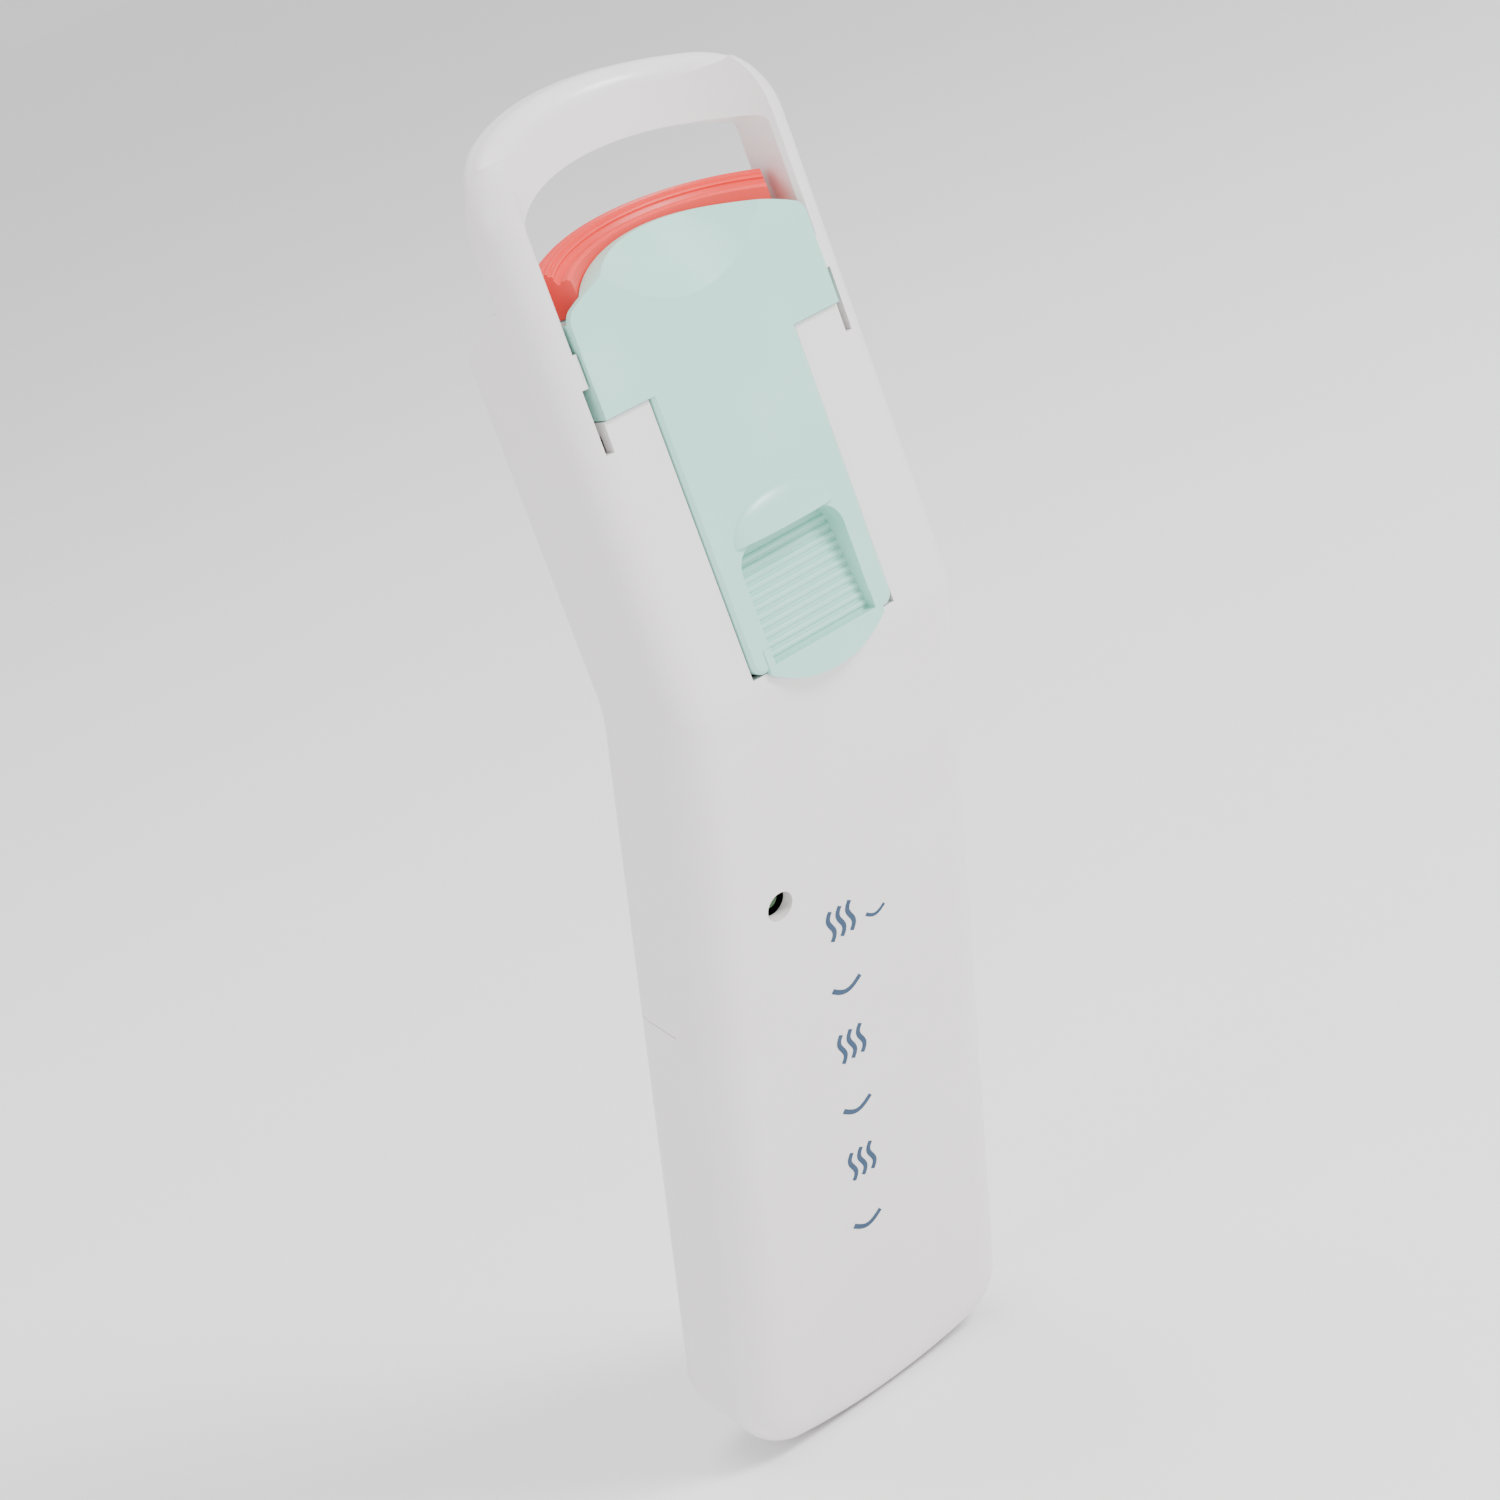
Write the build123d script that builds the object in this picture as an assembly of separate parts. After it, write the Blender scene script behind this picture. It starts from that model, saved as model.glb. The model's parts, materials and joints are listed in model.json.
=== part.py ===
from build123d import *
import math
import os

# Heated slide-type eyelash curler.
# Frame while modelling: X across, Y from the front face to the back, Z along the head, up
# to the lash bar. The head and the grip meet at a soft ridge on the front, at the origin.

# Outside shape, in mm and degrees
width = 35.0
bend = 22.9
grip_depth = 13.8
head_depth = 14.2
grip_length = 93.3
end_arch = 2.4
end_corner = 6.5
front_round = 4.0
back_round = 3.2
ridge_round = 3.0
kink_round = 9.0
wall = 1.3
seam_grip = 6.7
seam_head = 9.4
arm_thick = 3.4
arm_depth = 5.7
arm_back_round = 1.5
arm_low = 33.0
arm_high = 52.5
loop_top = 55.7
loop_arch = 3.9
loop_corner = 8.0
bar_low = 46.7
crown_low = 53.0  # the bar's upper front edges lie above this
bar_arch = 2.6
bar_front = 7.4
bar_back = 12.7
bar_bow = 6.8
bar_front_round = 2.0
bar_back_round = 1.6
shoulder_front = 40.3
shoulder_back = 35.5
shoulder_round = 1.6

# Slide, pad and heater
post_top = 28.5
post_half = 13.9
slot_low = 25.7
slot_high = 31.8
slot_half = 14.75
plate_half = 8.6
plate_low = 1.3
plate_proud = 0.5
plate_back = 1.45
slide_gap = 0.15
head_corner = 38.3
head_mid = 41.8
head_bow = 9.6
head_end_depth = 3.6
pocket_half = 6.2
pocket_low = 1.7
pocket_high = 12.8
pad_radius = 20.9
pad_back = 9.4
pad_level = 42.0
pad_tilt = 17.5
pad_turn = 50.0
pad_base = 39.4
pad_end_front = 11.6
pad_end_back = 13.75
bay_half = 10.4
bay_low = 34.6
bay_side = 37.6
scoop_radius = 15.9
scoop_lean = 37.0
backing_half = 12.6
backing_thick = 1.4

# Electrical parts
cell_radius = 5.25
cell_length = 44.5
cell_middle = 7.0
cell_low = -83.2
led_x = -8.6
led_z = -24.2
board_half = 10.2
board_low = -35.5
board_high = -8.0
board_front = 5.2
board_thick = 1.0
cover_top = -38.3
screw_x = 12.8
screw_z = -31.0
chassis_screw_z = -13.0

inner_half = width / 2 - arm_thick
cos_bend = math.cos(math.radians(bend))
sin_bend = math.sin(math.radians(bend))


def grip_point(y, z):
    """A point of the grip, given square to the grip, in the head's Y and Z."""
    return (y * cos_bend - z * sin_bend, y * sin_bend + z * cos_bend)


def kink(head_y, grip_y):
    """Where a plane of the head meets the matching plane of the grip."""
    along = (grip_y * cos_bend - head_y) / sin_bend
    return (head_y, grip_y * sin_bend + along * cos_bend)


def in_grip(shape):
    """Turns a shape made square to the grip into the head's frame."""
    return Rot(bend, 0, 0) * shape


def box(x, y, z):
    """A box between two limits on each axis."""
    size = (x[1] - x[0], y[1] - y[0], z[1] - z[0])
    return Pos((x[0] + x[1]) / 2, (y[0] + y[1]) / 2, (z[0] + z[1]) / 2) * Box(*size)


def rod_y(x, z, radius, y_low, y_high):
    """A round rod along Y."""
    rod = Cylinder(radius, y_high - y_low)
    return Pos(x, (y_low + y_high) / 2, z) * Rot(90, 0, 0) * rod


def rod_z(x, y, radius, z_low, z_high):
    """A round rod along Z."""
    return Pos(x, y, (z_low + z_high) / 2) * Cylinder(radius, z_high - z_low)


def both_sides(shape):
    """The shape and its mirror image across the middle plane."""
    return shape + mirror(shape, about=Plane.YZ)


def pair(make):
    """Two separate solids, one for each side."""
    return Compound(children=[make(-1), make(1)])


def side_solid(front_in, back_in, half, low, high, rounds):
    """The bent side outline, moved in from the front and the back, spread to both sides."""
    corner_front = kink(front_in, front_in)
    corner_back = kink(head_depth - back_in, grip_depth - back_in)
    outline = Polyline(
        (front_in, high),
        corner_front,
        grip_point(front_in, -low),
        grip_point(grip_depth - back_in, -low),
        corner_back,
        (head_depth - back_in, high),
        close=True,
    )
    face = make_face(outline)
    for corner, radius in zip((corner_front, corner_back), rounds):
        spot = face.vertices().sort_by_distance(Vector(corner[0], corner[1], 0))[0]
        face = fillet(spot, radius)
    return extrude(Plane.YZ * face, amount=half, both=True)


def front_outline(inset):
    """The grip seen square on: straight sides and an arched lower end."""
    half = width / 2 - inset
    low = grip_length - inset
    edges = [
        Line((-half, 90), (-half, end_arch - low)),
        ThreePointArc((-half, end_arch - low), (0, -low), (half, end_arch - low)),
        Line((half, end_arch - low), (half, 90)),
        Line((half, 90), (-half, 90)),
    ]
    face = make_face(edges)
    low_corners = face.vertices().sort_by(Axis.Y)[:2]
    face = fillet(low_corners, end_corner - inset)
    return in_grip(extrude(Plane.XZ * face, amount=70, both=True))


def outer_body():
    """The whole outside before it is split, with its long edges rounded."""
    body = side_solid(0, 0, width / 2 + 1, grip_length + 6, 62, (ridge_round, kink_round))
    body = body & front_outline(0)
    front_edges = []
    back_edges = []
    for edge in body.edges():
        middle = edge @ 0.5
        grip_y = middle.Y * cos_bend + middle.Z * sin_bend
        grip_z = -middle.Y * sin_bend + middle.Z * cos_bend
        if middle.Z > 61:
            continue
        if abs(middle.X) < 1 and grip_z > -grip_length + 1:
            continue
        if min(abs(middle.Y), abs(grip_y)) < 0.3:
            front_edges.append(edge)
        if abs(middle.Y - head_depth) < 1.2 or abs(grip_y - grip_depth) < 0.3:
            back_edges.append(edge)
    body = fillet(front_edges, front_round)
    back_edges = [find_edge(body, edge @ 0.5) for edge in back_edges]
    return fillet(back_edges, back_round)


def find_edge(shape, point):
    """The edge of a shape that passes closest to a point."""
    return shape.edges().sort_by_distance(point)[0]


def front_zone():
    """Everything in front of the seam between the two shells."""
    outline = Polyline(
        (seam_head, 90),
        kink(seam_head, seam_grip),
        grip_point(seam_grip, -120),
        grip_point(-60, -120),
        (-60, 90),
        close=True,
    )
    return extrude(Plane.YZ * make_face(outline), amount=40, both=True)


def shoulder_cut(inset):
    """The space behind the arms and over the sloped shoulder, or the same moved inwards."""
    back = head_depth - inset
    slope = (shoulder_back - shoulder_front) / (head_depth - arm_depth)
    front_level = shoulder_front - 1.15 * inset
    back_level = front_level + slope * (back - arm_depth)
    outline = Polyline(
        (arm_depth, front_level),
        (back, back_level),
        (back, 20),
        (40, 20),
        (40, 90),
        (arm_depth, 90),
        close=True,
    )
    face = make_face(outline)
    corner = face.vertices().sort_by_distance(Vector(back, back_level, 0))[0]
    face = fillet(corner, shoulder_round - inset / 2)
    return extrude(Plane.YZ * face, amount=40, both=True)


def loop_outline():
    """The arms and the lash bar seen square on, made thick, with the front edge rounded."""
    half = width / 2
    end = loop_top - loop_arch
    edges = [
        Line((-half, arm_low), (half, arm_low)),
        Line((half, arm_low), (half, end)),
        ThreePointArc((half, end), (0, loop_top), (-half, end)),
        Line((-half, end), (-half, arm_low)),
    ]
    face = make_face(edges)
    corners = face.vertices().sort_by(Axis.Y)[-2:]
    face = fillet(corners, loop_corner)
    solid = extrude(Plane.XZ * face, amount=-30)
    return fillet(rim_edges(solid, 0), front_round)


def rim_edges(solid, y):
    """The edges of a flat end face at one depth, but for the lowest."""
    return [e for e in solid.edges() if abs((e @ 0.5).Y - y) < 0.01 and (e @ 0.5).Z > arm_low + 0.1]


def loop_opening():
    """The space between the arms, from the posts up to the lash bar's lower edge."""
    half = inner_half
    edges = [
        Line((-half, post_top), (half, post_top)),
        Line((half, post_top), (half, bar_low)),
        ThreePointArc((half, bar_low), (0, bar_low + bar_arch), (-half, bar_low)),
        Line((-half, bar_low), (-half, post_top)),
    ]
    face = make_face(edges)
    corners = face.vertices().sort_by(Axis.Y)[-2:]
    face = fillet(corners, 1.2)
    return extrude(Plane.XZ * face, amount=40, both=True)


def bowed(chord, middle_y, bow, low, high):
    """An upright cylinder whose back is at middle_y on the middle plane, bow further back than at the chord."""
    radius = (chord * chord + bow * bow) / (2 * bow)
    return rod_z(0, middle_y - radius, radius, low, high)


def lash_loop():
    """The two arms and the curved bar that the lashes are pressed against."""
    thick = loop_outline()
    hollow = bowed(inner_half, bar_front, bar_bow, slot_high, 70)
    arms = thick & box((-30, 30), (-1, arm_depth), (arm_low, 70))
    arms = fillet(rim_edges(arms, arm_depth), arm_back_round)
    bar = thick & bowed(width / 2 - 2, bar_back, bar_back - arm_depth, bar_low, 70)
    bar = bar - hollow
    bar = soften_bar(bar)
    arms = arms - hollow - loop_opening()
    loop = bar - loop_opening()
    left = arms & box((-30, -5), (-1, 10), (arm_low, arm_high))
    left = left + (loop & box((-30, 0), (-5, 40), (20, 70)))
    return both_sides(left)


def soften_bar(bar):
    """Rounds the bar's upper edges, the front one more than the back one."""
    front = upper_edges(bar, bar_front, bar_bow, inner_half, crown_low)
    bar = fillet(front, bar_front_round)
    back = upper_edges(bar, bar_back, bar_back - arm_depth, width / 2 - 2, bar_low + 1)
    return fillet(back, bar_back_round)


def upper_edges(bar, middle_y, bow, chord, lowest):
    """The edges on one of the bar's bowed faces that lie above a height."""
    radius = (chord * chord + bow * bow) / (2 * bow)
    picked = []
    for edge in bar.edges():
        on_face = True
        for part_way in (0.1, 0.5, 0.9):
            point = edge @ part_way
            off = math.hypot(point.X, point.Y - middle_y + radius) - radius
            on_face = on_face and abs(off) < 0.02
        if on_face and (edge @ 0.5).Z > lowest:
            picked.append(edge)
    return picked


def cavity(top):
    """The hollow inside the shells, up to a height on the head."""
    hollow = side_solid(wall, wall, width / 2 - wall, grip_length + 6, top, (ridge_round, kink_round))
    return hollow & front_outline(wall)


def boss(z, y_low, y_high, radius):
    """A pair of round screw bosses in the grip."""
    return in_grip(both_sides(rod_y(screw_x, z, radius, y_low, y_high)))


def front_shell(outer):
    shell = (outer - shoulder_cut(0)) & front_zone()
    shell = shell & box((-40, 40), (-60, 90), (-150, arm_low + 2))
    shell = shell + shoulder_sides(outer)
    shell = shell - loop_opening()
    shell = shell - cavity(post_top - wall)
    upper = box((width / 2 - 2 * wall, width / 2 - wall), (arm_depth, 20), (20, 60))
    upper = upper - shoulder_cut(wall)
    shell = shell - both_sides(upper)
    shell = shell + lash_loop()
    window_low = plate_low - slide_gap
    window = box((-plate_half - slide_gap, plate_half + slide_gap), (-2, 6.9), (window_low, 30))
    shell = shell - window
    slot = box((post_half, slot_half), (-2, 6.9), (slot_low, slot_high))
    shell = shell - both_sides(slot)
    shell = shell - in_grip(rod_y(led_x, led_z, 1.55, -2, 4))
    bosses = boss(screw_z, wall - 0.2, 6.6, 2.2) + boss(chassis_screw_z, wall - 0.2, 6.0, 2.2)
    shell = shell + bosses
    holes = boss(screw_z, 2.0, 8, 0.8) + boss(chassis_screw_z, 2.0, 8, 0.8)
    return shell - holes


def shoulder_sides(outer):
    """The head behind the arms, up to the shoulder and back to the seam."""
    sides = (outer - shoulder_cut(0)) & front_zone()
    return sides & box((-40, 40), (arm_depth - arm_back_round, 60), (arm_low, shoulder_front))


def above_cover():
    """The part of the grip and head above the battery cover's upper edge."""
    return in_grip(box((-40, 40), (-60, 60), (cover_top, 90)))


def rear_shell(outer):
    shell = outer - shoulder_cut(0) - front_zone()
    shell = shell - (cavity(60) - shoulder_cut(wall))
    shell = shell & above_cover()
    shell = shell - bowed(inner_half, head_bow + 0.5, 6.0, 25, 60)
    bosses = boss(screw_z, seam_grip - 0.05, 13.0, 2.3) & outer
    shell = shell + bosses
    shell = shell - boss(screw_z, 5, 20, 1.15)
    shell = shell - boss(screw_z, 12.2, 20, 2.0)
    return shell


def battery_cover(outer):
    shell = outer - front_zone() - cavity(40)
    below = in_grip(box((-40, 40), (-60, 60), (-120, cover_top - 0.12)))
    shell = shell & below
    root = box((7.6, 12), (11.1, 13.0), (cover_top - 2.5, cover_top - 0.2))
    tongue = box((7.6, 12), (11.1, 12.3), (cover_top - 2.5, cover_top + 2.6))
    shell = shell + in_grip(both_sides(root + tongue))
    groove = Rot(45, 0, 0) * Box(60, 0.7, 0.7)
    groove = in_grip(Pos(0, grip_depth, cover_top - 0.12) * groove)
    shell = shell - groove
    nail = in_grip(Pos(0, grip_depth + 10.6, cover_top - 9) * Rot(0, 90, 0) * Cylinder(11.2, 13))
    return shell - nail


def head_arch(middle, corner, low):
    """A face-on outline between the arms: flat below, arched on top."""
    edges = [
        Line((-post_half, low), (post_half, low)),
        Line((post_half, low), (post_half, corner)),
        ThreePointArc((post_half, corner), (0, middle), (-post_half, corner)),
        Line((-post_half, corner), (-post_half, low)),
    ]
    face = make_face(edges)
    corners = face.vertices().sort_by(Axis.Y)[-2:]
    face = fillet(corners, 1.6)
    return extrude(Plane.XZ * face, amount=40, both=True)


def swept_bow(section, half_angle):
    """Carries a Y-Z section round the leaning axis that the pad and its heater share."""
    lean = math.radians(pad_tilt)
    axis = Axis((0, pad_back - pad_radius, pad_level), (0, -math.sin(lean), math.cos(lean)))
    face = make_face(Polyline(*section, close=True))
    face = Plane.YZ * face
    right = revolve(face, axis, half_angle)
    left = mirror(right, about=Plane.YZ)
    return right + left


def bow_box(y, z, half_angle):
    """A swept bar with a plain rectangular section."""
    return swept_bow([(y[0], z[0]), (y[1], z[0]), (y[1], z[1]), (y[0], z[1])], half_angle)


def pocket_cut():
    """The sloped thumb pocket, deeper towards the hood."""
    profile = Polyline(
        (-3, pocket_low),
        (0.6, pocket_low),
        (2.6, pocket_high),
        (-3, pocket_high),
        close=True,
    )
    cut = extrude(Plane.YZ * make_face(profile), amount=pocket_half, both=True)
    corners = cut.edges().filter_by(Axis.Y)
    cut = fillet(corners.filter_by(lambda edge: (edge @ 0.5).Z > 10), 2.6)
    return cut


def pocket_ribs():
    """Low cross ribs on the pocket's floor, for grip."""
    ribs = []
    count = 11
    for index in range(count):
        z = pocket_low + 0.55 + index * 0.86
        y = 0.6 + 2.0 * (z - pocket_low) / (pocket_high - pocket_low)
        rib = Pos(0, y + 0.1, z) * Rot(0, 90, 0) * Cylinder(0.34, 2 * pocket_half + 0.4)
        ribs.append(rib)
    return ribs


def thumb_slide():
    half = plate_half
    plate = box((-half, half), (-plate_proud, plate_back), (plate_low, 31))
    plate = fillet(plate.edges().filter_by(Axis.Y).group_by(Axis.Z)[0], 1.2)
    plate = chamfer(plate.edges().filter_by(Axis.Z).group_by(Axis.Y)[0], 0.32)
    bowl = box((-7.3, 7.3), (0, 3.9), (plate_low + 0.1, pocket_high + 1.2))
    head = head_arch(head_mid, head_corner, post_top + slide_gap)
    head = head & box((-20, 20), (-plate_proud, 20), (20, 50))
    head = head & bowed(post_half, head_bow, head_bow - head_end_depth, 20, 60)
    bay = bow_box((5.2, 14), (bay_low, 60), 60)
    deep = bay & box((-bay_half, bay_half), (-3, 20), (20, 60))
    bay = deep + (bay & box((-20, 20), (0.2, 20), (bay_side, 60)))
    under = box((-12.3, 12.3), (1.1, 20), (post_top - 1, 33.0))
    leads = both_sides(rod_z(2.4, 7.3, 0.66, 32, 36))
    head = head - bay - under - leads
    scoop = Pos(0, -scoop_radius, 0) * Cylinder(scoop_radius, 60)
    scoop = Pos(0, pad_back - pad_radius + scoop_radius, head_mid) * Rot(-scoop_lean, 0, 0) * scoop
    head = head - scoop
    slide = plate + bowl + head
    tongue = rod_y(0, plate_low + 8.9, 11.6, -plate_proud - 0.1, -0.08)
    tongue = tongue & box((-7.0, 7.0), (-2, 2), (-5, plate_low + 2))
    slide = slide + tongue
    slide = slide - pocket_cut()
    for rib in pocket_ribs():
        slide = slide + rib
    hood = Pos(0, -plate_proud + 0.1, pocket_high) * Sphere(6.2)
    hood = scale(Pos(0, plate_proud - 0.1, -pocket_high) * hood, by=(0.98, 0.2, 0.6))
    hood = Pos(0, -plate_proud + 0.2, pocket_high) * hood
    hood = hood & box((-8, 8), (-3, 1), (pocket_high - 0.02, 20))
    slide = slide + hood
    holes = both_sides(rod_y(7.9, 19.0, 0.55, -0.1, 3))
    return slide - holes


def slide_backing():
    """The plate behind the window's edges that keeps the slide in, with the springs' lugs."""
    y_low = plate_back + 0.02
    y_high = y_low + backing_thick
    wings = box((-backing_half, backing_half), (y_low, y_high), (3.0, 20.9))
    lug = box((9.6, backing_half), (y_low, 6.4), (8.0, 9.2))
    lug = lug + rod_z(11.1, 4.9, 1.0, 9.0, 11.5)
    backing = wings + both_sides(lug)
    backing = backing + box((-7.6, 7.6), (y_low, y_high), (15, 27.5))
    backing = backing - box((-7.45, 7.45), (0, 8), (0, pocket_high + 1.4))
    holes = both_sides(rod_y(7.9, 19.0, 0.8, 0, 8))
    recess = both_sides(rod_y(7.9, 19.0, 1.4, y_high - 0.6, 8))
    return backing - holes - recess


def screw(x, y, z, length, radius, head_radius, head_height):
    """A pan-head screw along Y with its head at the back and a cross recess."""
    body = rod_y(x, z, radius, y - length, y)
    head = rod_y(x, z, head_radius, y, y + head_height)
    cross = box((x - 0.15, x + 0.15), (y + head_height * 0.45, y + 5), (z - 0.7, z + 0.7))
    cross = cross + box((x - 0.7, x + 0.7), (y + head_height * 0.45, y + 5), (z - 0.15, z + 0.15))
    return body + head - cross


def backing_screws():
    y = plate_back + 0.02 + backing_thick - 0.6
    return pair(lambda side: screw(side * 7.9, y, 19.0, 1.9, 0.55, 1.3, 0.55))


def lash_pad():
    """Soft ribbed pad: a low front step, a shallow valley and a rounded ridge."""
    step = pad_base + 2.85
    section = [
        (5.35, pad_base),
        (5.35, step),
        (5.6, step + 0.25),
        (6.15, step + 0.25),
        (6.4, step),
        (6.62, step + 0.07),
        (6.8, step + 0.5),
    ]
    ridge_count = 5
    for index in range(ridge_count):
        turn = math.radians(150 - index * 27)
        middle = (8.05 + 1.28 * math.cos(turn), step + 0.25 + 1.02 * math.sin(turn))
        for spread in (120, 60, 0, -50):
            angle = turn + math.radians(spread - 35)
            section.append((middle[0] + 0.2 * math.cos(angle), middle[1] + 0.2 * math.sin(angle)))
    section = section + [(9.45, step + 0.25), (9.45, pad_base)]
    return swept_bow(section, pad_turn) & pad_limits(0)


def pad_limits(gap):
    """The room between the arms that the pad fills, with slanted ends."""
    slant = (pad_end_back - pad_end_front) / 3.2
    front = pad_end_front - slant * 4 + gap
    back = pad_end_back + gap
    outline = Polyline((-front, -3.2), (-back, 4), (-back, 20), (back, 20), (back, 4), (front, -3.2), close=True)
    return Pos(0, 0, 30) * extrude(make_face(outline), amount=30)


def heater_plate():
    return bow_box((5.7, 9.3), (pad_base - 0.85, pad_base - 0.1), 28.5)


def heating_element():
    return bow_box((6.4, 8.7), (pad_base - 1.6, pad_base - 0.9), 25)


def pad_cradle():
    """Heat-resistant bed under the heater, with a groove for the element."""
    bed = bow_box((5.4, 9.4), (bay_low + 0.3, pad_base - 0.9), 29)
    groove = bow_box((6.3, 8.8), (pad_base - 1.68, pad_base), 26)
    holes = both_sides(rod_z(2.4, 7.4, 0.62, 30, 40))
    return bed - groove - holes


def flat_strip(points, half, x):
    """A bent metal strip from its side outline."""
    face = make_face(Polyline(*points, close=True))
    return Pos(x, 0, 0) * extrude(Plane.YZ * face, amount=half, both=True)


def wiper_contacts():
    y = plate_back + 0.02 + backing_thick + 0.02
    outline = [
        (y, 26.5),
        (y, 20.0),
        (y + 0.25, 20.0),
        (5.2, 17.2),
        (5.92, 16.2),
        (5.92, 15.6),
        (6.15, 15.6),
        (6.15, 16.5),
        (5.4, 17.5),
        (y + 0.3, 20.8),
        (y + 0.3, 26.5),
    ]
    return pair(lambda side: flat_strip(outline, 1.1, side * 2.4))


def contact_rails():
    return pair(lambda side: Pos(side * 2.4, 0, 0) * box((-1, 1), (6.2, 6.45), (5.0, 23.0)))


def wire(points, radius):
    """A round insulated wire through a few points."""
    path = Spline(*points)
    return sweep(Plane(origin=path @ 0, z_dir=path % 0) * Circle(radius), path=path)


def heater_leads():
    points = [(3.6, 25.2), (5.0, 28.5), (7.2, 32.5), (7.4, 36.0), (7.5, 37.6)]
    return pair(lambda side: wire([(side * 2.4, y, z) for y, z in points], 0.42))


def return_spring(side):
    """A compression spring between a lug on the slide and the underside of a post."""
    low = 9.35
    high = post_top - wall - 0.15
    wire_radius = 0.18
    coil_radius = 1.42
    length = high - low - 2 * wire_radius
    helix = Helix(pitch=length / 9, height=length, radius=coil_radius)
    profile = Plane(origin=helix @ 0, z_dir=helix % 0) * Circle(wire_radius)
    coil = sweep(profile, path=helix, is_frenet=True)
    return Pos(side * 11.1, 4.9, low + wire_radius) * coil


def chassis():
    """Inner frame: board shelf, battery tray, and a tongue in the head that carries the rails."""
    shelf = box((-10.3, 10.3), (6.35, 7.55), (-36.4, -7.0))
    ears = both_sides(box((9, 15.2), (6.35, 7.55), (chassis_screw_z - 2.4, chassis_screw_z + 2.4)))
    tray = box((-7.3, 7.3), (2.2, 9.5), (-87.2, -36.4))
    tray = tray - box((-5.55, 5.55), (0, 12), (cell_low - 2.3, -37.5))
    tray = tray - box((-4, 4), (6.5, 12), (-95, -86.0))
    body = shelf + ears + tray
    body = body - both_sides(rod_y(screw_x, chassis_screw_z, 1.15, 0, 12))
    body = in_grip(body)
    tongue = box((-5.2, 5.2), (6.5, 7.6), (-1.0, 24.0))
    bridge = in_grip(box((-5.2, 5.2), (6.35, 7.55), (-8, -1.2)))
    return body + tongue + bridge


def chassis_screws():
    return pair(
        lambda side: in_grip(screw(side * screw_x, 7.57, chassis_screw_z, 5.2, 0.78, 1.7, 0.9))
    )


def shell_screws():
    return pair(lambda side: in_grip(screw(side * screw_x, 12.2, screw_z, 9.6, 0.78, 1.9, 0.9)))


def board_back():
    return board_front + board_thick


def circuit_board():
    board = box((-board_half, board_half), (board_front, board_back()), (board_low, board_high))
    board = fillet(board.edges().filter_by(Axis.Y), 1.0)
    return in_grip(board)


def control_chip():
    body = box((2.0, 6.9), (board_front - 1.5, board_front - 0.05), (-22.0, -18.1))
    legs = []
    for side in (-1, 1):
        for index in range(4):
            x = 4.45 + (index - 1.5) * 1.27
            z = -20.05 + side * 2.4
            legs.append(box((x - 0.2, x + 0.2), (board_front - 0.3, board_front - 0.02), (z - 0.6, z + 0.6)))
    for leg in legs:
        body = body + leg
    return in_grip(body)


def boost_coil():
    coil = rod_y(4.4, -29.5, 2.9, board_front - 2.9, board_front - 0.02)
    coil = coil - (rod_y(4.4, -29.5, 3.2, 2.9, 4.5) - rod_y(4.4, -29.5, 2.3, 2.8, 4.6))
    return in_grip(coil)


def board_capacitors():
    parts = []
    for x, z in ((-3.0, -30.5), (-3.0, -26.6), (-2.0, -13.0)):
        parts.append(in_grip(box((x - 1.6, x + 1.6), (board_front - 1.4, board_front - 0.02), (z - 0.8, z + 0.8))))
    return Compound(children=parts)


def indicator_led():
    """A three-millimetre lamp with a domed end, set back in its hole."""
    body = rod_y(led_x, led_z, 1.45, 2.6, board_front - 0.6)
    rim = rod_y(led_x, led_z, 1.75, board_front - 1.4, board_front - 0.6)
    dome = Pos(led_x, 2.6, led_z) * Sphere(1.45)
    legs = rod_y(led_x - 0.9, led_z, 0.25, board_front - 0.8, board_front - 0.02)
    legs = legs + rod_y(led_x + 0.9, led_z, 0.25, board_front - 0.8, board_front - 0.02)
    return in_grip(body + rim + dome + legs)


def battery_cell():
    can = rod_z(0, cell_middle, cell_radius, cell_low, cell_low + cell_length - 0.9)
    can = fillet(can.edges(), 0.35)
    tip = rod_z(0, cell_middle, 1.9, cell_low + cell_length - 1.1, cell_low + cell_length)
    return in_grip(can + tip)


def cell_spring_contact():
    """Flat plate with a coned coil that presses on the cell's lower end."""
    plate = box((-4.6, 4.6), (3.0, 11.0), (cell_low - 2.25, cell_low - 1.95))
    helix = Helix(pitch=0.62, height=1.55, radius=3.2, cone_angle=-38)
    profile = Plane(origin=helix @ 0, z_dir=helix % 0) * Circle(0.18)
    coil = sweep(profile, path=helix, is_frenet=True)
    coil = Pos(0, cell_middle, cell_low - 1.95 + 0.1) * coil
    return in_grip(plate + coil)


def cell_plate_contact():
    plate = box((-4.2, 4.2), (3.0, 10.6), (-37.85, -37.55))
    dimple = Pos(0, cell_middle, -37.9) * Sphere(1.0)
    dimple = dimple & box((-3, 3), (0, 12), (-38.55, -37.7))
    return in_grip(plate + dimple)


def battery_leads():
    positive = wire(
        [(-3.6, 10.9, -37.4), (-6.5, 10.3, -36.0), (-9.0, 9.0, -33.5), (-9.4, 8.5, -30.0)],
        0.4,
    )
    negative = wire(
        [
            (6.0, 10.4, cell_low - 2.6),
            (8.6, 9.6, cell_low + 2),
            (8.9, 7.6, cell_low + 20),
            (8.9, 7.6, -45.0),
            (9.2, 8.6, -36.0),
            (9.4, 8.5, -30.0),
        ],
        0.4,
    )
    return Compound(children=[in_grip(positive), in_grip(negative)])


def rail_leads():
    points = [(2.4, 6.0, 4.6), (2.6, 5.2, 1.5), (3.0, 5.3, -3.0), (3.0, 6.3, -6.2)]
    return pair(lambda side: wire([(side * x, y, z) for x, y, z in points], 0.38))


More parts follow.
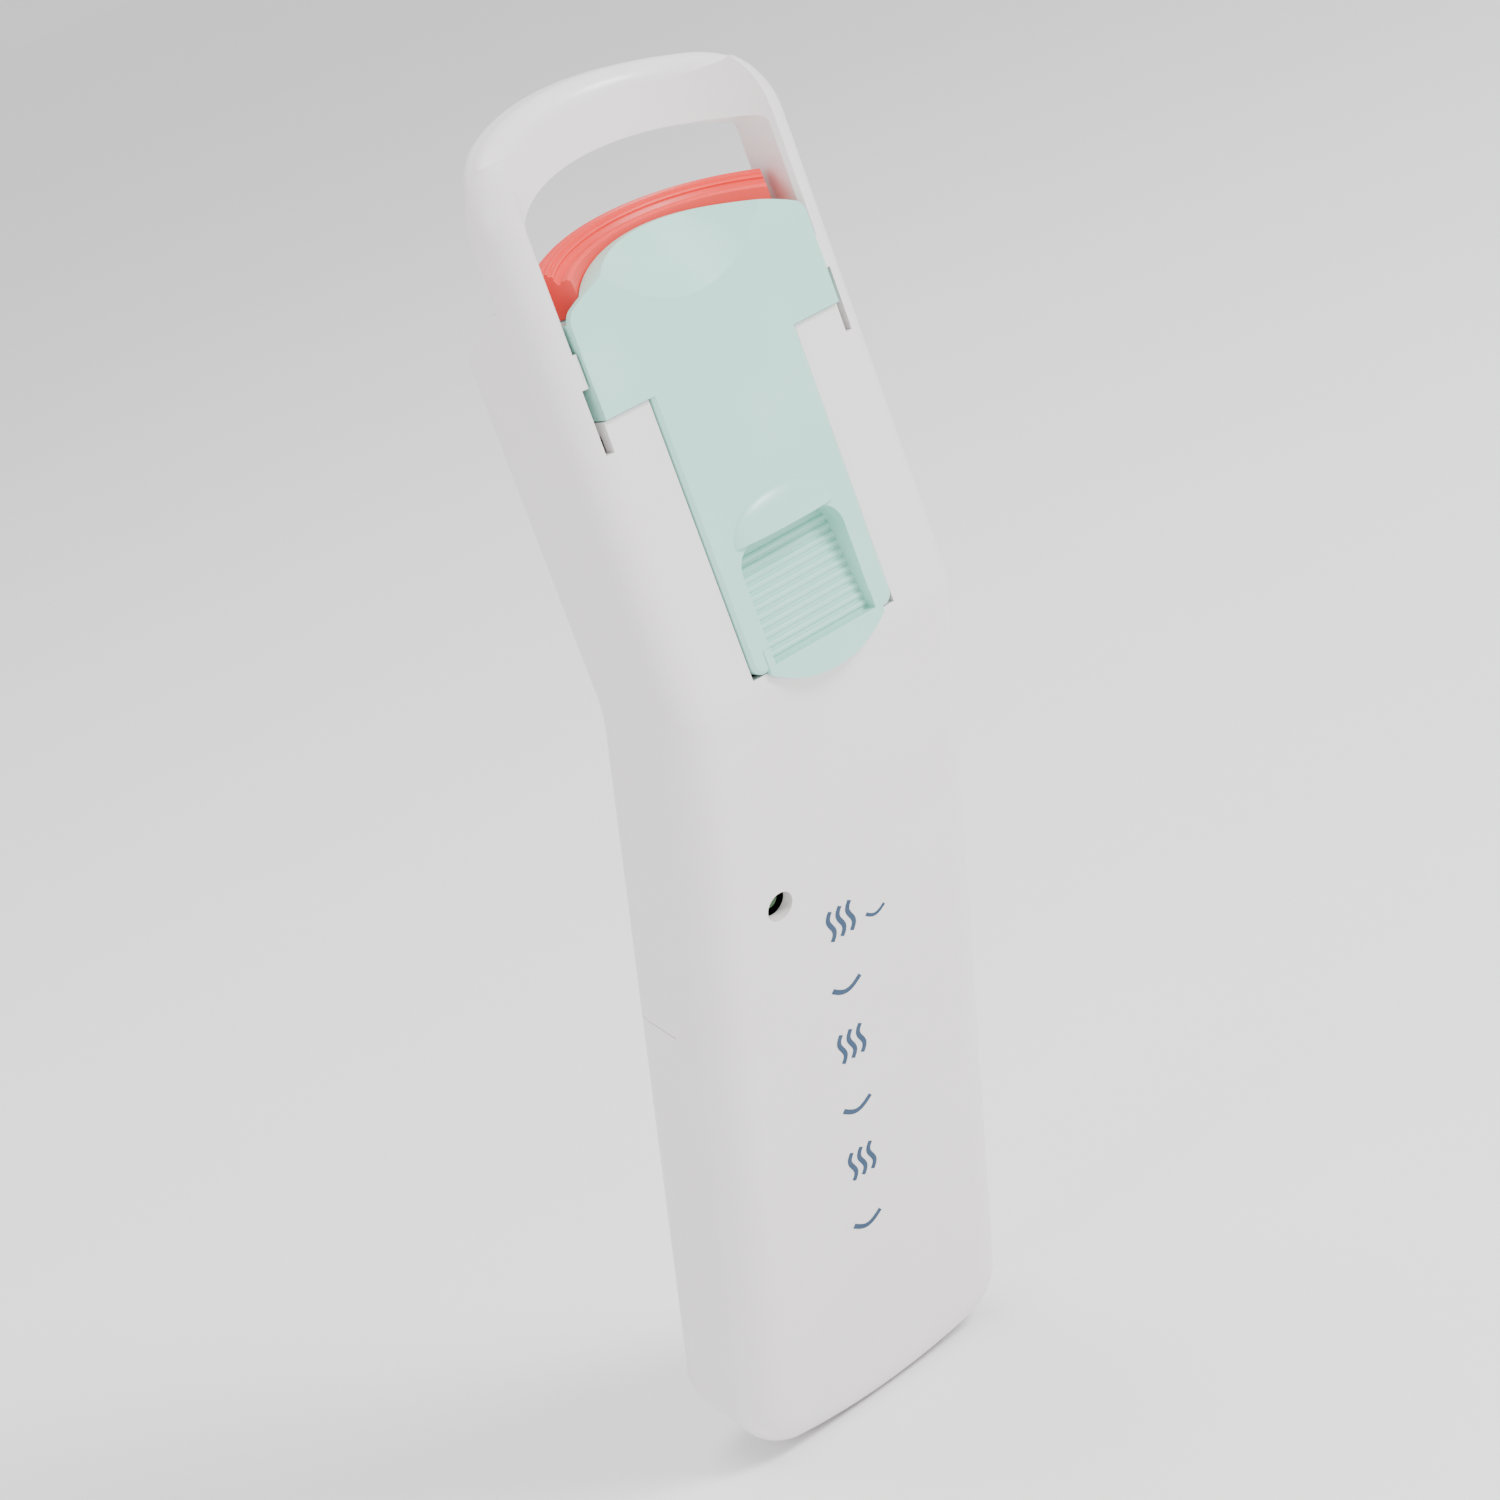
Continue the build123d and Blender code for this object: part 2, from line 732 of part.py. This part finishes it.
def build():
    """Every piece by its node name, in the modelling frame."""
    outer = outer_body()
    parts = {
        "front_shell": front_shell(outer),
        "rear_shell": rear_shell(outer),
        "battery_cover": battery_cover(outer),
        "thumb_slide": thumb_slide(),
        "slide_backing": slide_backing(),
        "backing_screws": backing_screws(),
        "lash_pad": lash_pad(),
        "heater_plate": heater_plate(),
        "heating_element": heating_element(),
        "pad_cradle": pad_cradle(),
        "wiper_contacts": wiper_contacts(),
        "contact_rails": contact_rails(),
        "heater_leads": heater_leads(),
        "return_spring_left": return_spring(-1),
        "return_spring_right": return_spring(1),
        "chassis": chassis(),
        "chassis_screws": chassis_screws(),
        "shell_screws": shell_screws(),
        "circuit_board": circuit_board(),
        "control_chip": control_chip(),
        "boost_coil": boost_coil(),
        "board_capacitors": board_capacitors(),
        "indicator_led": indicator_led(),
        "battery_cell": battery_cell(),
        "cell_spring_contact": cell_spring_contact(),
        "cell_plate_contact": cell_plate_contact(),
        "battery_leads": battery_leads(),
        "rail_leads": rail_leads(),
    }
    return parts


def write_all():
    """Moves the assembly so that its box stands on Z = 0, centred in X and Y, and writes each piece."""
    os.makedirs("parts", exist_ok=True)
    parts = build()
    limits = [shape.bounding_box() for shape in parts.values()]
    low_y = min(limit.min.Y for limit in limits)
    high_y = max(limit.max.Y for limit in limits)
    lift = -min(limit.min.Z for limit in limits)
    shift_y = -(low_y + high_y) / 2
    print("shift", round(shift_y, 4), round(lift, 4))
    for name, shape in parts.items():
        placed = Pos(0, shift_y, lift) * shape
        export_step(placed, f"parts/{name}.step")
        print(name, round(shape.volume, 1), len(shape.solids()))


write_all()
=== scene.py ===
import json
import math
import bpy
from mathutils import Matrix, Vector

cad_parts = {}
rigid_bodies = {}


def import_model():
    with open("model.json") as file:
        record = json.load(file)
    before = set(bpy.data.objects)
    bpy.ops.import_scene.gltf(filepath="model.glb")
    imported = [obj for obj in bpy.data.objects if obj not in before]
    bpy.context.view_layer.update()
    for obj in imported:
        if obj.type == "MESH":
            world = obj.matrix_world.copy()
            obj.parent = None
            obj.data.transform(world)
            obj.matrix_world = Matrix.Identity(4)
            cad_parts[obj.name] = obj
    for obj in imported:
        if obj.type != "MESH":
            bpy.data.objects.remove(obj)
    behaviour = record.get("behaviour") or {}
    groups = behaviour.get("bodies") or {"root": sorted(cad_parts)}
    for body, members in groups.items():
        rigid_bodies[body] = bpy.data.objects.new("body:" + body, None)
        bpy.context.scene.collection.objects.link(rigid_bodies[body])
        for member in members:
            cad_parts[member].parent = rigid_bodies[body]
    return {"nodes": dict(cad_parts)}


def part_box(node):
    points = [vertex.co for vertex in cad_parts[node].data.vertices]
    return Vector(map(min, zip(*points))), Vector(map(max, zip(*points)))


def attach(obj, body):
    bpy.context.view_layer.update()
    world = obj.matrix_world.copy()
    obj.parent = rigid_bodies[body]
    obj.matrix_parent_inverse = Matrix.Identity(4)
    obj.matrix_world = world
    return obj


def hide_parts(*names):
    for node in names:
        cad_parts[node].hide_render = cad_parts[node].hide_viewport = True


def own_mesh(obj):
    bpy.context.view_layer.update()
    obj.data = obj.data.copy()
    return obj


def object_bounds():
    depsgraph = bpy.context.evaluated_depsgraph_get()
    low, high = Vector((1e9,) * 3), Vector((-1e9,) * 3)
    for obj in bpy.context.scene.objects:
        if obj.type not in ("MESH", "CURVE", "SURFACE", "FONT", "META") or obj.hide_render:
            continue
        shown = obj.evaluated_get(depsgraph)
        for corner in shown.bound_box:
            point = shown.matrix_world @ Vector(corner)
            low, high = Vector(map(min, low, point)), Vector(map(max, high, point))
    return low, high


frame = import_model()
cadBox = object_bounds()
nodes = frame["nodes"]
mm = 0.001
print("frame loaded:", len(nodes), "nodes")


# shared places, all taken from the frame
shellLow, shellHigh = (Vector(corner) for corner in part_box("front_shell"))
bendAngle = math.radians(22.9)  # grip leans back by this much below the ridge
loopHeight = 55.7 * mm  # ridge to the top of the loop
ridge = Vector((0, shellLow.y, shellHigh.z - loopHeight))
gripTurn = Matrix.Rotation(bendAngle, 4, "X")


def onGrip(x, y, z):
    # millimetres from the ridge, square to the grip
    return ridge + gripTurn.to_3x3() @ (Vector((x, y, z)) * mm)


# finishes
def newFinish(name):
    mat = bpy.data.materials.new(name)
    mat.use_nodes = True
    tree = mat.node_tree
    shader = tree.nodes["Principled BSDF"]
    coords = tree.nodes.new("ShaderNodeTexCoord")
    return mat, tree, shader, coords


def addNoise(tree, coords, scale, detail=3.0, rough=0.5):
    noise = tree.nodes.new("ShaderNodeTexNoise")
    noise.inputs["Scale"].default_value = scale
    noise.inputs["Detail"].default_value = detail
    noise.inputs["Roughness"].default_value = rough
    tree.links.new(coords.outputs["Object"], noise.inputs["Vector"])
    return noise


def addRamp(tree, source, stops):
    ramp = tree.nodes.new("ShaderNodeValToRGB")
    for index, (place, colour) in enumerate(stops):
        element = ramp.color_ramp.elements[index] if index < 2 else ramp.color_ramp.elements.new(place)
        element.position = place
        element.color = (*colour, 1)
    tree.links.new(source, ramp.inputs["Fac"])
    return ramp


def addRange(tree, source, low, high):
    spread = tree.nodes.new("ShaderNodeMapRange")
    spread.inputs["To Min"].default_value = low
    spread.inputs["To Max"].default_value = high
    tree.links.new(source, spread.inputs["Value"])
    return spread


def addBump(tree, source, strength, distance, shader):
    bump = tree.nodes.new("ShaderNodeBump")
    bump.inputs["Strength"].default_value = strength
    bump.inputs["Distance"].default_value = distance
    tree.links.new(source, bump.inputs["Height"])
    tree.links.new(bump.outputs["Normal"], shader.inputs["Normal"])
    return bump


def mouldedPlastic(name):
    # moulded plastic: broad tint drift, fine skin grain, roughness that wanders a little
    look = {**plasticDefaults, **plastics[name]}
    mat, tree, shader, coords = newFinish(name)
    broad = addNoise(tree, coords, look["mottle"], 3.0)
    tint = addRamp(tree, broad.outputs["Fac"], [(0.3, look["deep"]), (0.7, look["colour"])])
    tree.links.new(tint.outputs["Color"], shader.inputs["Base Color"])
    fine = addNoise(tree, coords, look["grain"], 2.0)
    wander = addNoise(tree, coords, look["mottle"] * 4, 4.0)
    gloss = addRange(tree, wander.outputs["Fac"], *look["roughness"])
    tree.links.new(gloss.outputs["Result"], shader.inputs["Roughness"])
    addBump(tree, fine.outputs["Fac"], look["skin"], skinDepth, shader)
    shader.inputs["Coat Weight"].default_value = look["coat"]
    shader.inputs["Coat Roughness"].default_value = 0.2
    if look["clear"]:
        shader.inputs["Transmission Weight"].default_value = look["clear"]
    return mat


def brushedMetal(name):
    # metal with streaks that run along the part
    look = metals[name]
    mat, tree, shader, coords = newFinish(name)
    stretch = tree.nodes.new("ShaderNodeMapping")
    stretch.inputs["Scale"].default_value = (1, 1, 12)
    tree.links.new(coords.outputs["Object"], stretch.inputs["Vector"])
    streaks = tree.nodes.new("ShaderNodeTexNoise")
    streaks.inputs["Scale"].default_value = 700.0
    streaks.inputs["Detail"].default_value = 5.0
    tree.links.new(stretch.outputs["Vector"], streaks.inputs["Vector"])
    tint = addRamp(tree, streaks.outputs["Fac"], [(0.3, look["deep"]), (0.75, look["colour"])])
    tree.links.new(tint.outputs["Color"], shader.inputs["Base Color"])
    gloss = addRange(tree, streaks.outputs["Fac"], 0.22, 0.42)
    tree.links.new(gloss.outputs["Result"], shader.inputs["Roughness"])
    addBump(tree, streaks.outputs["Fac"], 0.08, skinDepth, shader)
    shader.inputs["Metallic"].default_value = 1.0
    return mat


def putOn(node, mat):
    mesh = nodes[node].data
    mesh.materials.clear()
    mesh.materials.append(mat)


def plain(colour, deep, low, high, **more):
    # a plastic without a clear coat
    return {"colour": colour, "deep": deep, "roughness": (low, high), "coat": 0.0, **more}


def glossy(colour, deep, low=0.28, high=0.4, **more):
    return {"colour": colour, "deep": deep, "roughness": (low, high), **more}


skinDepth = 0.02 * mm  # height of the surface grain
plasticDefaults = {"grain": 2600.0, "mottle": 90.0, "skin": 0.05, "coat": 0.15, "clear": 0.0}
plastics = {
    "shellWhite": glossy((0.84, 0.80, 0.80), (0.82, 0.775, 0.775)),
    "mintPlastic": glossy((0.40, 0.74, 0.64), (0.36, 0.71, 0.61)),
    "padCoral": plain((0.88, 0.045, 0.035), (0.80, 0.035, 0.028), 0.35, 0.5),
    "innerPlastic": plain((0.62, 0.61, 0.58), (0.57, 0.56, 0.53), 0.5, 0.65),
    "heatBed": plain((0.07, 0.06, 0.055), (0.05, 0.045, 0.04), 0.5, 0.7),
    "heaterFilm": glossy((0.6, 0.32, 0.07), (0.5, 0.25, 0.05), 0.2, 0.4),
    "boardGreen": glossy((0.02, 0.11, 0.045), (0.012, 0.08, 0.03), 0.25, 0.4, mottle=900.0),
    "chipBlack": plain((0.012, 0.012, 0.013), (0.02, 0.02, 0.021), 0.5, 0.65),
    "ferriteGrey": plain((0.045, 0.045, 0.05), (0.03, 0.03, 0.033), 0.55, 0.75),
    "ceramicTan": plain((0.42, 0.28, 0.15), (0.36, 0.23, 0.12), 0.4, 0.6),
    "cellJacket": glossy((0.03, 0.045, 0.06), (0.022, 0.034, 0.047), 0.25, 0.35),
    "wireRed": plain((0.45, 0.015, 0.015), (0.36, 0.01, 0.01), 0.35, 0.5),
    "wireWhite": plain((0.7, 0.69, 0.66), (0.63, 0.62, 0.6), 0.35, 0.5),
    "lampGreen": glossy((0.05, 0.16, 0.05), (0.035, 0.12, 0.04), 0.08, 0.16, skin=0.01, clear=0.35),
    "navyInk": plain((0.008, 0.048, 0.114), (0.006, 0.04, 0.098), 0.4, 0.55),
}
metals = {
    "screwSteel": {"colour": (0.55, 0.55, 0.56), "deep": (0.4, 0.4, 0.41)},
    "springSteel": {"colour": (0.6, 0.6, 0.6), "deep": (0.42, 0.42, 0.43)},
    "contactBrass": {"colour": (0.75, 0.55, 0.25), "deep": (0.6, 0.42, 0.18)},
    "heatAluminium": {"colour": (0.78, 0.78, 0.79), "deep": (0.62, 0.62, 0.64)},
}
coats = {name: mouldedPlastic(name) for name in plastics}
coats.update({name: brushedMetal(name) for name in metals})

finishes = {
    "front_shell": "shellWhite",
    "rear_shell": "shellWhite",
    "battery_cover": "shellWhite",
    "thumb_slide": "mintPlastic",
    "slide_backing": "innerPlastic",
    "backing_screws": "screwSteel",
    "lash_pad": "padCoral",
    "heater_plate": "heatAluminium",
    "heating_element": "heaterFilm",
    "pad_cradle": "heatBed",
    "wiper_contacts": "contactBrass",
    "contact_rails": "contactBrass",
    "heater_leads": "wireWhite",
    "return_spring_left": "springSteel",
    "return_spring_right": "springSteel",
    "chassis": "innerPlastic",
    "chassis_screws": "screwSteel",
    "shell_screws": "screwSteel",
    "circuit_board": "boardGreen",
    "control_chip": "chipBlack",
    "boost_coil": "ferriteGrey",
    "board_capacitors": "ceramicTan",
    "indicator_led": "lampGreen",
    "battery_cell": "cellJacket",
    "cell_spring_contact": "springSteel",
    "cell_plate_contact": "springSteel",
    "battery_leads": "wireRed",
    "rail_leads": "wireRed",
}
for node, mat in finishes.items():
    putOn(node, coats[mat])
print("finishes on", len(finishes), "nodes")


# printed marks on the grip, plain pictograms in navy
marks = {
    "middle": -1.4,  # millimetres right of the grip's middle
    "top": -30.0,
    "pitch": 7.5,
    "count": 6,
    "stroke": 0.55,
    "width": 3.6,
    "proud": 0.03,
    "waveGap": 0.35,  # share of the width between two waves of one mark
    "smallMiddle": 3.0,
    "smallTop": -31.0,
}


def addStroke(verts, faces, line, stroke):
    # a flat band with a little thickness along a line of x, z points on the grip's front
    first = len(verts)
    for index, (x, z) in enumerate(line):
        before = Vector(line[max(index - 1, 0)])
        after = Vector(line[min(index + 1, len(line) - 1)])
        along = (after - before).normalized()
        across = Vector((-along.y, along.x)) * stroke / 2
        for y in (-marks["proud"], marks["proud"]):
            for side in (1, -1):
                verts.append(onGrip(x + side * across.x, y, z + side * across.y))
    for index in range(len(line) - 1):
        here = first + index * 4
        for a, b in ((0, 1), (1, 3), (3, 2), (2, 0)):
            faces.append((here + a, here + b, here + b + 4, here + a + 4))
    last = first + (len(line) - 1) * 4
    faces.append((first, first + 2, first + 3, first + 1))
    faces.append((last, last + 1, last + 3, last + 2))


def heatWave(middle, z, width):
    # one upright wavy line, as on a sign for warmth
    steps = 14
    return [
        (middle + width * 0.1 * math.sin(2 * math.pi * i / steps), z + (i / steps - 0.5) * width)
        for i in range(steps + 1)
    ]


def lashArc(middle, z, width):
    # a lid line that sags in the middle
    steps = 14
    return [
        (middle + (i / steps - 0.5) * width, z - 0.25 * width * math.sin(math.pi * i / steps))
        for i in range(steps + 1)
    ]


def printMarks():
    verts = []
    faces = []
    width = marks["width"]
    for index in range(marks["count"]):
        z = marks["top"] - index * marks["pitch"]
        if index % 2:
            addStroke(verts, faces, lashArc(marks["middle"], z, width), marks["stroke"])
        else:
            for step in (-1, 0, 1):
                wave = heatWave(marks["middle"] + step * marks["waveGap"] * width, z, width)
                addStroke(verts, faces, wave, marks["stroke"])
    addStroke(verts, faces, lashArc(marks["smallMiddle"], marks["smallTop"], 2.4), marks["stroke"] * 0.7)
    mesh = bpy.data.meshes.new("gripMarks")
    mesh.from_pydata(verts, [], faces)
    mesh.materials.append(coats["navyInk"])
    piece = bpy.data.objects.new("gripMarks", mesh)
    bpy.context.scene.collection.objects.link(piece)
    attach(piece, "housing")
    return piece


printMarks()
print("marks printed")


# return springs, copied as coils of their own with the originals hidden; nothing here shortens them as
# the slide rises
springs = {
    "travel": 4.4,  # millimetres
    "nodes": ("return_spring_left", "return_spring_right"),
}


def makeSpring(node):
    piece = nodes[node].copy()
    piece.data = nodes[node].data.copy()
    piece.name = node + "_coil"
    bpy.context.scene.collection.objects.link(piece)
    if piece.parent:
        piece.parent = None
        piece.matrix_world = nodes[node].matrix_world.copy()
    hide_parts(node)
    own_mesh(piece)
    return piece


for node in springs["nodes"]:
    makeSpring(node)
print("springs made")


# studio
studio = {
    "floorSize": 6.0,
    "floorColour": (0.97, 0.97, 0.97),
    "skyColour": (1.0, 1.0, 1.0),
    "skyStrength": 1.0,
    "lights": {  # place, diameter and power
        "keyLight": ((0.35, -0.75, 0.75), 0.35, 13.0),
        "sideLight": ((-0.8, -0.2, 0.45), 0.5, 2.0),
        "topLight": ((0.0, 0.1, 0.9), 0.6, 4.0),
    },
}


def makeFloor():
    half = studio["floorSize"] / 2
    mesh = bpy.data.meshes.new("studioFloor")
    corners = [(-half, -half, 0), (half, -half, 0), (half, half, 0), (-half, half, 0)]
    mesh.from_pydata(corners, [], [(0, 1, 2, 3)])
    floor = bpy.data.objects.new("studioFloor", mesh)
    bpy.context.scene.collection.objects.link(floor)
    mat, tree, shader, coords = newFinish("floorPaper")
    noise = addNoise(tree, coords, 30.0)
    low = [value * 0.99 for value in studio["floorColour"]]
    tint = addRamp(tree, noise.outputs["Fac"], [(0.3, low), (0.7, studio["floorColour"])])
    tree.links.new(tint.outputs["Color"], shader.inputs["Base Color"])
    shader.inputs["Roughness"].default_value = 0.9
    mesh.materials.append(mat)
    return floor


def makeLight(name, place, aim, size, power):
    data = bpy.data.lights.new(name, "AREA")
    data.shape = "DISK"
    data.size = size
    data.energy = power
    lamp = bpy.data.objects.new(name, data)
    lamp.location = place
    lamp.rotation_euler = (Vector(aim) - Vector(place)).to_track_quat("-Z", "Y").to_euler()
    bpy.context.scene.collection.objects.link(lamp)
    return lamp


makeFloor()
world = bpy.data.worlds.new("paleRoom")
world.use_nodes = True
world.node_tree.nodes["Background"].inputs["Color"].default_value = (*studio["skyColour"], 1)
world.node_tree.nodes["Background"].inputs["Strength"].default_value = studio["skyStrength"]
bpy.context.scene.world = world
middle = (cadBox[0][2] + cadBox[1][2]) / 2
for name, (place, size, power) in studio["lights"].items():
    makeLight(name, place, (0, 0, middle), size, power)


# camera
view = {
    "azimuth": -34.0,  # degrees, from straight in front towards the left
    "elevation": 14.9,
    "roll": -20.1,
    "distance": 0.3586,
    "lens": 94.5,
    "aim": (-7.16, -8.91),  # millimetres right of and above the ridge, in the view
}


def makeCamera():
    azimuth = math.radians(view["azimuth"])
    elevation = math.radians(view["elevation"])
    roll = math.radians(view["roll"])
    back = Vector((
        math.sin(azimuth) * math.cos(elevation),
        -math.cos(azimuth) * math.cos(elevation),
        math.sin(elevation),
    ))
    right = Vector((math.cos(azimuth), math.sin(azimuth), 0))
    up = back.cross(right)
    viewRight = right * math.cos(roll) + up * math.sin(roll)
    viewUp = up * math.cos(roll) - right * math.sin(roll)
    aim = ridge + (viewRight * view["aim"][0] + viewUp * view["aim"][1]) * mm
    place = ridge + back * view["distance"]
    toward = (aim - place).normalized()
    side = toward.cross(viewUp).normalized()
    top = side.cross(toward)
    turn = Matrix((side, top, -toward)).transposed().to_4x4()
    data = bpy.data.cameras.new("viewCamera")
    data.lens = view["lens"]
    data.sensor_width = 36.0
    data.clip_start = 0.01
    camera = bpy.data.objects.new("viewCamera", data)
    camera.matrix_world = Matrix.Translation(place) @ turn
    bpy.context.scene.collection.objects.link(camera)
    bpy.context.scene.camera = camera


makeCamera()
print("studio ready")
